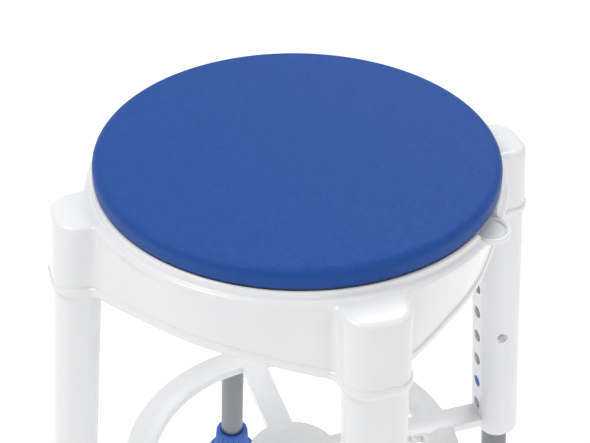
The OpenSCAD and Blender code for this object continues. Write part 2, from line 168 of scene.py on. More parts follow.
def select_where(piece: bpy.types.Object, kind: str, test: Callable[[Vector, Vector], bool]) -> int:
    """Selects a piece's vertices, edges or faces by their place, and opens it in edit mode.

    Args:
        piece: the piece to select on.
        kind: VERT, EDGE or FACE.
        test: takes the element's middle and its normal, or an edge's direction, and returns True to select it.

    Returns:
        How many elements are selected.
    """
    edit(piece, kind)
    leave_edit()
    mesh, count = piece.data, 0
    for element in {"VERT": mesh.vertices, "EDGE": mesh.edges, "FACE": mesh.polygons}[kind]:
        if kind == "EDGE":
            a, b = (mesh.vertices[i].co for i in element.vertices)
            chosen = test((a + b) / 2, (b - a).normalized())
        elif kind == "FACE":
            chosen = test(element.center, element.normal)
        else:
            chosen = test(element.co, element.normal)
        element.select = bool(chosen)
        count += bool(chosen)
    bpy.ops.object.mode_set(mode="EDIT")
    return count


def close_and_orient(piece: bpy.types.Object, gap: float = 2e-6) -> None:
    """Merges a mesh's doubled seam vertices and turns its faces outwards."""
    edit(piece)
    select_all()
    bpy.ops.mesh.remove_doubles(threshold=gap)
    bpy.ops.mesh.dissolve_degenerate(threshold=gap / 4)
    bpy.ops.mesh.normals_make_consistent(inside=False)
    leave_edit()


def shade(piece: bpy.types.Object, degrees: float = 35.0) -> None:
    """Shades a piece smooth, with sharp edges where its faces meet at more than the given angle."""
    activate(piece)
    bpy.ops.object.shade_smooth_by_angle(angle=math.radians(degrees))


def modify(piece: bpy.types.Object, kind: str, **settings: object) -> None:
    """Adds one modifier to a piece and applies it.

    Args:
        piece: the piece to change.
        kind: the modifier's type, such as BEVEL.
        **settings: the modifier's own settings.
    """
    activate(piece)
    modifier = piece.modifiers.new(kind.title(), kind)
    for key, value in settings.items():
        setattr(modifier, key, value)
    bpy.ops.object.modifier_apply(modifier=modifier.name)


def combine(piece: bpy.types.Object, tool: bpy.types.Object, operation: str) -> None:
    """Joins a tool shape to a piece or cuts it away, and removes the tool.

    Args:
        piece: the piece to change.
        tool: the closed shape that is added or cut.
        operation: UNION or DIFFERENCE.
    """
    modify(piece, "BOOLEAN", object=tool, operation=operation, solver="EXACT")
    discard(tool)


def join(pieces: Sequence[bpy.types.Object]) -> bpy.types.Object:
    """Joins several shapes into the first one's mesh."""
    deselect()
    for piece in pieces:
        piece.select_set(True)
    bpy.context.view_layer.objects.active = pieces[0]
    if len(pieces) > 1:
        bpy.ops.object.join()
    return pieces[0]


def turned_copy(piece: bpy.types.Object, name: str, matrix: Matrix) -> bpy.types.Object:
    """Copies a piece with its own mesh, turned and moved in that mesh.

    Args:
        piece: the modelled original.
        name: the copy's name.
        matrix: where the copy goes.

    Returns:
        The copy, whose object stays at the origin.
    """
    copy = piece.copy()
    copy.data = piece.data.copy()
    copy.name = copy.data.name = name
    bpy.context.scene.collection.objects.link(copy)
    copy.data.transform(matrix)
    copy.data.update()
    return copy


def apply_place(piece: bpy.types.Object) -> bpy.types.Object:
    """Moves a piece's location, turn and scale into its mesh."""
    activate(piece)
    bpy.ops.object.transform_apply(location=True, rotation=True, scale=True)
    return piece


def block(name: str, low: Sequence[float], high: Sequence[float]) -> bpy.types.Object:
    """Adds a block between two corners.

    Args:
        name: the block's name.
        low: its lowest corner, in metres.
        high: its highest corner, in metres.

    Returns:
        The block, with its place in its mesh.
    """
    middle = [(a + b) / 2 for a, b in zip(low, high)]
    deselect()
    bpy.ops.mesh.primitive_cube_add(size=1.0, location=middle, scale=[b - a for a, b in zip(low, high)])
    return apply_place(named(name))


def rod(name: str, radius: float, low: float, high: float, sides: int = 64) -> bpy.types.Object:
    """Adds an upright round bar from one height to another.

    Returns:
        The bar, with its place in its mesh.
    """
    deselect()
    bpy.ops.mesh.primitive_cylinder_add(
        vertices=sides, radius=radius, depth=high - low, location=(0, 0, (low + high) / 2)
    )
    return apply_place(named(name))


def spun(name: str, profile: Sequence[tuple[float, float]], steps: int = 96) -> bpy.types.Object:
    """Turns a closed profile round the Z axis, as on a lathe.

    Args:
        name: the piece's name.
        profile: radius and height of each point of the closed outline, in metres.
        steps: how many faces go round the piece.

    Returns:
        The closed, outward-facing piece.
    """
    deselect()
    bpy.ops.mesh.primitive_circle_add(vertices=len(profile), radius=1.0)
    piece = named(name)
    place_vertices(piece, np.array([(r, 0.0, z) for r, z in profile]))
    edit(piece)
    select_all()
    bpy.ops.mesh.spin(steps=steps, angle=2 * math.pi, center=(0, 0, 0), axis=(0, 0, 1))
    leave_edit()
    close_and_orient(piece, 1e-5)
    return piece


def wrapped(name: str, rings: np.ndarray) -> bpy.types.Object:
    """Wraps a flat grid into a closed tube of rings.

    Args:
        name: the piece's name.
        rings: an array of shape (rings, columns, 3); the first and last ring and column coincide.

    Returns:
        The closed, outward-facing piece.
    """
    rows, columns = rings.shape[:2]
    deselect()
    bpy.ops.mesh.primitive_grid_add(x_subdivisions=columns - 1, y_subdivisions=rows - 1, size=1.0)
    piece = named(name)
    at = coordinates(piece)
    column = np.rint((at[:, 0] + 0.5) * (columns - 1)).astype(int)
    row = np.rint((at[:, 1] + 0.5) * (rows - 1)).astype(int)
    place_vertices(piece, rings[row, column])
    close_and_orient(piece)
    return piece


def arc(steps: int) -> np.ndarray:
    """Angles of a quarter circle, from 0 to 90 degrees, in radians."""
    return np.linspace(0, math.pi / 2, steps)


# ---------------------------------------------------------------- flat outlines


def smooth_min(a: np.ndarray, b: np.ndarray, blend: float) -> np.ndarray:
    """The smaller of two distances, rounded where they are alike, which fills the corner between two shapes."""
    share = np.clip(0.5 + 0.5 * (b - a) / blend, 0, 1)
    return b + (a - b) * share - blend * share * (1 - share)


def smooth_max(a: np.ndarray, b: np.ndarray, blend: float) -> np.ndarray:
    """The larger of two distances, rounded where they are alike."""
    return -smooth_min(-a, -b, blend)


def rounded_box(x: np.ndarray, y: np.ndarray, depth: float, width: float, corner: float) -> np.ndarray:
    """Distance from points to the edge of a rectangle with round corners, negative inside.

    Args:
        x: the points' places along the depth, from the rectangle's middle.
        y: the points' places along the width.
        depth: the rectangle's size along X.
        width: its size along Y.
        corner: its corner radius.

    Returns:
        The distances.
    """
    dx, dy = np.abs(x) - depth / 2 + corner, np.abs(y) - width / 2 + corner
    outside = np.hypot(np.maximum(dx, 0), np.maximum(dy, 0))
    return outside + np.minimum(np.maximum(dx, dy), 0) - corner


def crossing(
    distance: Callable[[np.ndarray], np.ndarray], low: float, high: float, like: np.ndarray
) -> np.ndarray:
    """Finds where a distance changes sign along each ray.

    Args:
        distance: takes a radius for each ray, and is negative at low and positive at high.
        low: the smallest radius.
        high: the largest radius.
        like: an array with one entry for each ray.

    Returns:
        The radius for each ray.
    """
    a, b = np.full_like(like, low), np.full_like(like, high)
    for _ in range(40):
        middle = (a + b) / 2
        inside = distance(middle) < 0
        a, b = np.where(inside, middle, a), np.where(inside, b, middle)
    return (a + b) / 2


# ---------------------------------------------------------------- materials


def linear(hex_colour: str) -> tuple[float, float, float, float]:
    """Turns an sRGB hex colour, such as 2558A0, to Blender's linear RGBA."""
    parts = [int(hex_colour[i : i + 2], 16) / 255 for i in (0, 2, 4)]
    r, g, b = (c / 12.92 if c <= 0.04045 else ((c + 0.055) / 1.055) ** 2.4 for c in parts)
    return (r, g, b, 1.0)


@dataclass(frozen=True)
class Finish:
    """One finish: a real material and how its surface was made.

    Attributes:
        name: the material's name.
        colour: its sRGB hex colour.
        second: the colour of its lighter or darker patches.
        metallic: 1 for a metal, otherwise 0.
        roughness: the middle of its roughness.
        spread: how far the roughness strays.
        patch_mm: size of the colour patches.
        grain_mm: size of the surface grain.
        grain_depth_mm: height of that grain.
        streak: how many times longer than wide the grain is, along the object's Z axis.
        cell: True for a cell-shaped leather grain, False for a cloudy one.
        ior: index of refraction, or None for the shader's own.
        coat: weight of a clear coat.
        sheen: weight of the sheen.
        subsurface: weight of the light that enters the material.
    """

    name: str
    colour: str
    second: str
    metallic: float = 0.0
    roughness: float = 0.4
    spread: float = 0.05
    patch_mm: float = 40.0
    grain_mm: float = 1.0
    grain_depth_mm: float = 0.01
    streak: float = 1.0
    cell: bool = False
    ior: Optional[float] = 1.5
    coat: float = 0.0
    sheen: float = 0.0
    subsurface: float = 0.0

    def build(self) -> bpy.types.Material:
        """Makes the material's nodes.

        Returns:
            The new material.
        """
        material = bpy.data.materials.new(self.name)
        material.use_nodes = True
        tree = material.node_tree
        tree.nodes.clear()
        place = add_node(tree, "ShaderNodeTexCoord")
        scale = {"Scale": (1.0, 1.0, 1.0 / self.streak)}
        stretch = add_node(tree, "ShaderNodeMapping", scale, {"Vector": place.outputs["Object"]})
        cloud = {"Scale": 1 / (self.patch_mm * MM), "Detail": 3.0, "Roughness": 0.55}
        patches = add_node(tree, "ShaderNodeTexNoise", cloud, {"Vector": stretch.outputs["Vector"]})
        grain = self.grain(tree, stretch.outputs["Vector"])
        tones = {"data_type": "RGBA", "A": linear(self.colour), "B": linear(self.second)}
        colour = add_node(tree, "ShaderNodeMix", tones, {"Factor": patches.outputs["Fac"]})
        range_of = {"To Min": self.roughness - self.spread, "To Max": self.roughness + self.spread}
        worn = add_node(tree, "ShaderNodeMapRange", range_of, {"Value": grain})
        height = {"Strength": 1.0, "Distance": self.grain_depth_mm * MM}
        relief = add_node(tree, "ShaderNodeBump", height, {"Height": grain})
        settings = {
            "Metallic": self.metallic,
            "Coat Weight": self.coat,
            "Coat Roughness": 0.15,
            "Sheen Weight": self.sheen,
            "Subsurface Weight": self.subsurface,
            "Subsurface Radius": (0.004, 0.004, 0.004),
        }
        if self.ior is not None:
            settings["IOR"] = self.ior
        feeds = {
            "Base Color": next(s for s in colour.outputs if s.type == "RGBA"),
            "Roughness": worn.outputs["Result"],
            "Normal": relief.outputs["Normal"],
        }
        shader = add_node(tree, "ShaderNodeBsdfPrincipled", settings, feeds)
        add_node(tree, "ShaderNodeOutputMaterial", {}, {"Surface": shader.outputs["BSDF"]})
        return material

    def grain(self, tree: bpy.types.NodeTree, place: bpy.types.NodeSocket) -> bpy.types.NodeSocket:
        """Makes the surface grain.

        Args:
            tree: the material's nodes.
            place: the coordinates that the grain follows.

        Returns:
            The grain's height, from 0 to 1.
        """
        pores = {"Scale": 1 / (self.grain_mm * MM), "Detail": 4.0, "Roughness": 0.6}
        fine = add_node(tree, "ShaderNodeTexNoise", pores, {"Vector": place})
        if not self.cell:
            return fine.outputs["Fac"]
        hide = {"feature": "DISTANCE_TO_EDGE", "Scale": 1 / (self.grain_mm * 1.4 * MM), "Randomness": 1.0}
        cells = add_node(tree, "ShaderNodeTexVoronoi", hide, {"Vector": place})
        creases = add_node(tree, "ShaderNodeMapRange", {"From Max": 0.25}, {"Value": cells.outputs[0]})
        sources = {0: creases.outputs["Result"], 2: fine.outputs["Fac"]}
        mixed = add_node(tree, "ShaderNodeMath", {"operation": "MULTIPLY_ADD", 1: 0.5}, sources)
        return mixed.outputs["Value"]


def add_node(
    tree: bpy.types.NodeTree,
    kind: str,
    settings: Optional[dict] = None,
    links: Optional[dict] = None,
) -> bpy.types.Node:
    """Adds one node with its settings and links.

    Args:
        tree: the nodes it joins.
        kind: the node's type.
        settings: the node's own options, and its input sockets' values, by name or number.
        links: sockets that feed its inputs, by name or number.

    Returns:
        The node.
    """
    node = tree.nodes.new(kind)
    for key, value in (settings or {}).items():
        if isinstance(key, str) and hasattr(node, key):
            setattr(node, key, value)
    for key, value in (settings or {}).items():
        if isinstance(key, int) or not hasattr(node, key):
            free_input(node, key).default_value = value
    for key, socket in (links or {}).items():
        tree.links.new(socket, free_input(node, key))
    return node


def free_input(node: bpy.types.Node, key: str | int) -> bpy.types.NodeSocket:
    """Finds a node's input by name or number, among those that its options leave in use."""
    if isinstance(key, int):
        return node.inputs[key]
    return next(s for s in node.inputs if s.name == key and s.enabled)


# Injection-moulded polypropylene: bright neutral white, an even satin gloss, and the faintest flow mottle.
WHITE_MOULDING = Finish(
    "moulded_white_polypropylene", "F0F0F1", "EAEBEC", roughness=0.24, spread=0.03, patch_mm=70, grain_mm=1.4,
    grain_depth_mm=0.003, subsurface=0.06, ior=1.49, coat=0.15,
)
# Integral-skin polyurethane foam: matt mid blue with a fine pebbled hide grain and cloudy tone. The real
# grain is about 0.7 mm; it is drawn at 1.6 mm so that it still shows.
PAD_SKIN = Finish(
    "moulded_blue_polyurethane_skin", "003F90", "0C4FA0", roughness=0.46, spread=0.08, patch_mm=5, grain_mm=1.6,
    grain_depth_mm=0.32, cell=True, ior=1.38,
)
# Drawn and clear-anodised aluminium tube: soft grey metal with fine lines along its length.
DRAWN_ALUMINIUM = Finish(
    "drawn_anodised_aluminium", "8A8D91", "7E8186", metallic=1.0, roughness=0.36, spread=0.06, patch_mm=30,
    grain_mm=0.7, grain_depth_mm=0.006, streak=40, ior=None,
)
# Zinc-plated steel: bright grey with a mottled, slightly blue passivation.
ZINC_STEEL = Finish(
    "zinc_plated_steel", "B4B6B8", "A2A6AC", metallic=1.0, roughness=0.34, spread=0.1, patch_mm=5, grain_mm=0.6,
    grain_depth_mm=0.005, ior=None,
)
# Oil-tempered spring steel: dark grey with fine drawing lines.
SPRING_STEEL = Finish(
    "drawn_spring_steel", "5A5B5E", "48494C", metallic=1.0, roughness=0.4, spread=0.08, patch_mm=4,
    grain_mm=0.4, grain_depth_mm=0.004, streak=12, ior=None,
)
# Natural nylon: warm translucent white with a waxy gloss.
NATURAL_NYLON = Finish(
    "turned_natural_nylon", "E4E0D2", "D9D4C4", roughness=0.38, spread=0.05, patch_mm=12, grain_mm=0.8,
    grain_depth_mm=0.01, subsurface=0.15, ior=1.53,
)
# Moulded blue acetal: saturated blue with a smooth slippery gloss.
BLUE_ACETAL = Finish(
    "moulded_blue_acetal", "1D5FC4", "2368CC", roughness=0.28, spread=0.04, patch_mm=8, grain_mm=0.7,
    grain_depth_mm=0.004, subsurface=0.05, ior=1.48,
)
# Moulded thermoplastic rubber: blue, matt, with a fine spark-eroded texture.
BLUE_RUBBER = Finish(
    "moulded_blue_rubber", "2E66BE", "2A5DB0", roughness=0.55, spread=0.07, patch_mm=14, grain_mm=0.6,
    grain_depth_mm=0.03, ior=1.52,
)
# Sanded birch plywood: pale tan with long darker streaks.
PLYWOOD = Finish(
    "sanded_birch_plywood", "C8A676", "B48F5E", roughness=0.6, spread=0.08, patch_mm=9, grain_mm=0.9,
    grain_depth_mm=0.05, streak=0.12, ior=1.5,
)
# Matt studio paper: even white.
STUDIO_PAPER = Finish(
    "matt_studio_paper", "FAFAFA", "F6F6F7", roughness=0.9, spread=0.02, patch_mm=400, grain_mm=3,
)


@dataclass
class Wardrobe:
    """Builds each finish once and dresses pieces in it."""

    def __post_init__(self) -> None:
        """Starts with no finish built."""
        self.built: dict[str, bpy.types.Material] = {}

    def dress(self, piece: bpy.types.Object, finish: Finish) -> None:
        """Gives a piece its finish.

        Args:
            piece: the piece, or a node of the frame.
            finish: what it is made of.
        """
        if finish.name not in self.built:
            self.built[finish.name] = finish.build()
        piece.data.materials.clear()
        piece.data.materials.append(self.built[finish.name])


def hand_over(
    piece: bpy.types.Object, body: str, node: str, wardrobe: Wardrobe, finish: Finish
) -> None:
    """Dresses a finished piece and lets it stand for its node of the frame.

    Args:
        piece: the finished piece.
        body: the body that it rides on.
        node: the frame's node that it replaces.
        wardrobe: where finishes come from.
        finish: what it is made of.
    """
    wardrobe.dress(piece, finish)
    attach(piece, body)
    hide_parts(node)
    log.info("%s: %d faces on %s", piece.name, len(piece.data.polygons), body)


# ---------------------------------------------------------------- the stool's sub-assemblies


@dataclass
class LegLine:
    """Where the legs run, shared by the frame, legs, tubes and feet. Sizes in metres and degrees."""

    top: float = 548 * MM
    frame_h: float = 64 * MM
    radius: float = 187 * MM
    splay: float = 5.6
    length: float = 277 * MM

    @property
    def low(self) -> float:
        """Height of the frame's lower edge."""
        return self.top - self.frame_h

    @property
    def lean(self) -> float:
        """How far a leg runs out for each metre down."""
        return math.tan(math.radians(self.splay))

    def along(self, corner: Corner) -> Matrix:
        """The place of a leg: Z up its axis from the frame's lower edge, X away from the seat's axis."""
        tilt = Matrix.Rotation(-math.radians(self.splay), 4, "Y")
        return corner.turn @ Matrix.Translation((self.radius, 0, self.low)) @ tilt


@dataclass
class SeatFrame:
    """The moulded frame: a round top that runs out to a bowed square, with a boss over each leg."""

    line: LegLine
    width: float = 315 * MM
    side_radius: float = 500 * MM
    top_radius: float = 171.5 * MM
    trim_radius: float = 184 * MM
    boss_depth: float = 41 * MM
    boss_width: float = 53 * MM
    boss_corner: float = 18.5 * MM
    wall: float = 3.2 * MM
    plate: float = 3.6 * MM
    lip_height: float = 7 * MM
    ring_radius: float = 166.8 * MM
    ring_wall: float = 4 * MM
    ring_height: float = 7 * MM
    edge_fillet: float = 3.4 * MM
    boss_fillet: float = 6 * MM
    boss_blend: float = 9 * MM
    columns: int = 520
    pivot_bore: float = 22.06 * MM
    pivot_boss: float = 29 * MM
    pivot_depth: float = 34 * MM
    paddle_gap: float = 35 * MM
    socket: float = 12.58 * MM
    socket_depth: float = 6 * MM

    def body_distance(self, radius: np.ndarray, angle: np.ndarray, drop: float) -> np.ndarray:
        """Distance of points from the frame's outline without its bosses.

        Args:
            radius: the points' distance from the seat's axis.
            angle: their direction, in radians.
            drop: 0 at the top of the frame and 1 at its lower edge.

        Returns:
            The distances, negative inside.
        """
        x, y = np.abs(radius * np.cos(angle)), np.abs(radius * np.sin(angle))
        offset = self.side_radius - self.width / 2
        sides = smooth_max(
            np.hypot(x + offset, y) - self.side_radius, np.hypot(x, y + offset) - self.side_radius, 12 * MM
        )
        trim = radius - (self.top_radius + (self.trim_radius - self.top_radius) * drop)
        square = smooth_max(sides, trim, 8 * MM)
        cone = radius - (self.top_radius + (self.width / 2 - self.top_radius) * drop)
        return smooth_min(square, cone, 5 * MM)

    def boss_distance(self, radius: np.ndarray, angle: np.ndarray, drop: float) -> np.ndarray:
        """Distance of points from the nearest boss, which leans as its leg does, negative inside."""
        local = np.mod(angle, math.pi / 2) - math.pi / 4
        lean = (1 - drop) * self.line.frame_h * self.line.lean
        return rounded_box(
            radius * np.cos(local) - self.line.radius + lean,
            radius * np.sin(local),
            self.boss_depth,
            self.boss_width,
            self.boss_corner,
        )

    def outline(self, angle: np.ndarray, drop: float, offset: float | np.ndarray = 0.0) -> np.ndarray:
        """Radius of the frame's outside at each angle, set outwards by an offset."""

        def distance(radius: np.ndarray) -> np.ndarray:
            body = self.body_distance(radius, angle, drop)
            return smooth_min(body, self.boss_distance(radius, angle, drop), self.boss_blend) - offset

        return crossing(distance, 0.13, 0.225, angle)

    def hollow(self, angle: np.ndarray, drop: float) -> np.ndarray:
        """Radius of the hollow under the frame at each angle."""

        def distance(radius: np.ndarray) -> np.ndarray:
            body = self.body_distance(radius, angle, drop) + self.wall
            return smooth_max(body, -self.boss_distance(radius, angle, drop), 3 * MM)

        return crossing(distance, 0.13, 0.176, angle)

    def column_angles(self) -> np.ndarray:
        """Directions of the mesh's columns, evenly spaced along the frame's outside, in radians."""
        dense = np.linspace(0, 2 * math.pi, 7201)
        radius = self.outline(dense, 0.4)
        points = np.stack([radius * np.cos(dense), radius * np.sin(dense)], axis=1)
        length = np.concatenate([[0], np.cumsum(np.linalg.norm(np.diff(points, axis=0), axis=1))])
        return np.interp(np.linspace(0, length[-1], self.columns + 1), length, dense)

    def ring_share(self, angle: np.ndarray) -> np.ndarray:
        """How much of the raised ring's height stands at each angle: none at the paddle, with a round end."""
        away = np.abs(np.mod(angle + math.pi, 2 * math.pi) - math.pi) * self.ring_radius
        ramp = np.clip((away - self.paddle_gap / 2 - 0.5 * MM) / (5 * MM), 0, 1)
        return np.sqrt(1 - (1 - ramp) ** 2)

    def rings(self) -> np.ndarray:
        """Works out the shell's rings, from the pivot's bore over the top, down the side and back underneath.

        Returns:
            An array of shape (rings, columns, 3), whose first and last ring are the same.
        """
        angle = self.column_angles()
        share = self.ring_share(angle)
        ones = np.ones_like(angle)
        boss = np.clip(-self.boss_distance(self.line.radius * ones, angle, 0.0) / (8 * MM) + 0.5, 0, 1)
        fillet = self.edge_fillet + (self.boss_fillet - self.edge_fillet) * boss * boss * (3 - 2 * boss)
        ring_in, rows = self.ring_radius - self.ring_wall, []

        def flat(radius: float, z: float) -> None:
            rows.append((radius * ones, z * ones))

        def raised(radius: float, z: float) -> None:
            rows.append((radius * ones, z * share))

        flat(self.pivot_bore, -self.pivot_depth)
        flat(self.pivot_bore, 0)
        for radius in (60 * MM, 100 * MM, 140 * MM, ring_in - 1.5 * MM):
            flat(radius, 0)
        raised(ring_in - 0.4 * MM, 0.4 * MM)
        raised(ring_in, 1.4 * MM)
        crown = self.ring_wall / 2
        for turn in np.linspace(0, math.pi, 9):
            raised(
                self.ring_radius - crown - crown * math.cos(turn),
                self.ring_height - crown * 0.8 * (1 - math.sin(turn)),
            )
        foot = 1.9 * MM
        for turn in arc(6):
            raised(self.ring_radius + foot * (1 - math.cos(turn)), foot * (1 - math.sin(turn)))
        crease = self.ring_radius + foot
        first = np.maximum(self.outline(angle, 0.0, -fillet), crease + 0.15 * MM)
        for step in (0.35, 0.7):
            rows.append((crease + (first - crease) * step, 0 * ones))
        for turn in arc(10):
            reach = np.maximum(self.outline(angle, 0.0, -fillet * (1 - math.sin(turn))), first)
            rows.append((reach, -fillet * (1 - math.cos(turn))))
        crease_z = -(self.line.frame_h - self.lip_height)
        for step in (0.06, 0.18, 0.34, 0.52, 0.7, 0.85, 0.95):
            z = -fillet + (crease_z + fillet) * step
            rows.append((self.outline(angle, float(np.mean(-z) / self.line.frame_h)), z))
        for offset, z in (
            (0.0, 1.0), (-0.2, 0.4), (-0.2, 0.0), (0.2, -0.4), (0.8, -0.9), (1.2, -1.5), (1.4, -2.4),
            (1.5, -3.6), (1.5, -6.2), (1.3, -6.7), (0.8, -7.0),
        ):
            rows.append((self.outline(angle, 0.9, offset * MM), (crease_z + z * MM) * ones))
        for z in (-self.line.frame_h, -48 * MM, -28 * MM, -9 * MM):
            rows.append((self.hollow(angle, -z / self.line.frame_h), z * ones))
        ceiling = self.hollow(angle, 0.08)
        rows.append((ceiling - 0.8 * MM, -4.4 * MM * ones))
        rows.append((ceiling - 2.6 * MM, -self.plate * ones))
        flat(100 * MM, -self.plate)
        flat(self.pivot_boss + 2 * MM, -self.plate)
        flat(self.pivot_boss, -self.plate - 2 * MM)
        flat(self.pivot_boss, -self.pivot_depth)
        flat(self.pivot_bore, -self.pivot_depth)
        return np.stack(
            [np.stack([r * np.cos(angle), r * np.sin(angle), z + self.line.top], axis=1) for r, z in rows]
        )

    def underside(self) -> list[bpy.types.Object]:
        """Models the four ribs and the lever's housing under the top plate.

        Returns:
            The closed shapes, which reach into the shell's walls.
        """
        top, rib, height, shapes = self.line.top, 3 * MM, 18 * MM, []
        low = (self.pivot_boss - 2 * MM, -rib / 2, top - height)
        high = (self.line.radius - self.boss_depth / 2 + 1 * MM, rib / 2, top - 1 * MM)
        for corner in Corner:
            shape = block("rib", low, high)
            modify(shape, "BEVEL", width=0.5 * MM, segments=2)
            shape.data.transform(corner.turn)
            shapes.append(shape)
        wide = 14.4 * MM
        housing = block("housing", (116.6 * MM, -wide, top - 12.8 * MM), (168 * MM, wide, top - 3 * MM))
        select_where(housing, "FACE", lambda middle, normal: normal.z > 0.9)
        bpy.ops.mesh.inset(thickness=2.4 * MM)
        bpy.ops.mesh.extrude_region_move(TRANSFORM_OT_translate={"value": (0, 0, -7.4 * MM)})
        leave_edit()
        shapes.append(housing)
        return shapes

    def build(self, wardrobe: Wardrobe) -> None:
        """Models the frame and dresses it."""
        shell = wrapped("seat_frame_moulding", self.rings())
        top, half = self.line.top, self.paddle_gap / 2
        paddle_cut = block("cut", (151.8 * MM, -half, top - 6.4 * MM), (190 * MM, half, top + 12 * MM))
        select_where(paddle_cut, "EDGE", lambda middle, along: abs(along.z) > 0.9 and middle.x < 160 * MM)
        bpy.ops.mesh.bevel(offset=3 * MM, segments=4)
        combine(shell, paddle_cut, "DIFFERENCE")
        arm_cut = block("cut", (119 * MM, -12 * MM, top - 8 * MM), (166 * MM, 12 * MM, top + 1 * MM))
        combine(shell, arm_cut, "DIFFERENCE")
        sockets = [rod("socket", self.socket, -10 * MM, self.socket_depth, sides=96) for _ in Corner]
        for corner, socket in zip(Corner, sockets):
            socket.data.transform(self.line.along(corner))
        combine(shell, join(sockets), "DIFFERENCE")
        shell = join([shell, *self.underside()])
        shade(shell, 32)
        hand_over(shell, FRAME_BODY, "seat_frame", wardrobe, WHITE_MOULDING)


@dataclass
class Legs:
    """The four moulded legs, with a row of height holes down their inner side."""

    line: LegLine
    depth: float = 38 * MM
    width: float = 50 * MM
    corner: float = 17 * MM
    bore: float = 12.58 * MM
    end_round: float = 5 * MM
    hole: float = 6.25 * MM
    pitch: float = 30 * MM
    lowest: float = 31 * MM
    count: int = 7
    recess: float = 5.5 * MM
    recess_drop: float = 144 * MM

    def shape(self) -> bpy.types.Object:
        """Models one leg along its own axis, with Z = 0 at the frame's lower edge.

        Returns:
            The leg.
        """
        leg = rod("leg", 1.0, -self.line.length, 2.2 * MM, sides=128)
        at = coordinates(leg)
        angle = np.arctan2(at[:, 1], at[:, 0])

        def distance(radius: np.ndarray) -> np.ndarray:
            x, y = radius * np.cos(angle), radius * np.sin(angle)
            return rounded_box(x, y, self.depth, self.width, self.corner)

        radius = crossing(distance, 0.0, 0.05, angle)
        place_vertices(leg, np.stack([radius * np.cos(angle), radius * np.sin(angle), at[:, 2]], axis=1))
        end = -self.line.length
        select_where(leg, "EDGE", lambda middle, along: middle.z < end + CLOSE and abs(along.z) < 0.5)
        bpy.ops.mesh.bevel(offset=self.end_round, segments=7, profile=0.5)
        leave_edit()
        combine(leg, rod("bore", self.bore, end - 10 * MM, 10 * MM, sides=96), "DIFFERENCE")
        for number in range(self.count):
            hole = rod("hole", self.hole, 0, 30 * MM, sides=48)
            lift = end + self.lowest + number * self.pitch
            hole.data.transform(Matrix.Translation((0, 0, lift)) @ Matrix.Rotation(-math.pi / 2, 4, "Y"))
            combine(leg, hole, "DIFFERENCE")
        combine(leg, self.recess_tool(), "DIFFERENCE")
        shade(leg, 30)
        return leg

    def recess_tool(self) -> bpy.types.Object:
        """Models the dished recess of the small screw on the leg's flank."""
        tool = rod("recess", self.recess, 0, 8 * MM, sides=48)
        select_where(tool, "EDGE", lambda middle, along: middle.z < 0.1 * MM and abs(along.z) < 0.5)
        bpy.ops.mesh.bevel(offset=0.9 * MM, segments=3)
        leave_edit()
        seat = Matrix.Translation((-5 * MM, -self.width / 2 + 1.6 * MM, -self.recess_drop))
        tool.data.transform(seat @ Matrix.Rotation(math.pi / 2, 4, "X"))
        return tool

    def build(self, wardrobe: Wardrobe) -> None:
        """Models the legs and dresses them."""
        leg = self.shape()
        for corner in Corner:
            piece = turned_copy(leg, f"leg_{corner.label}_moulding", self.line.along(corner))
            hand_over(piece, FRAME_BODY, f"leg_{corner.label}", wardrobe, WHITE_MOULDING)
        discard(leg)


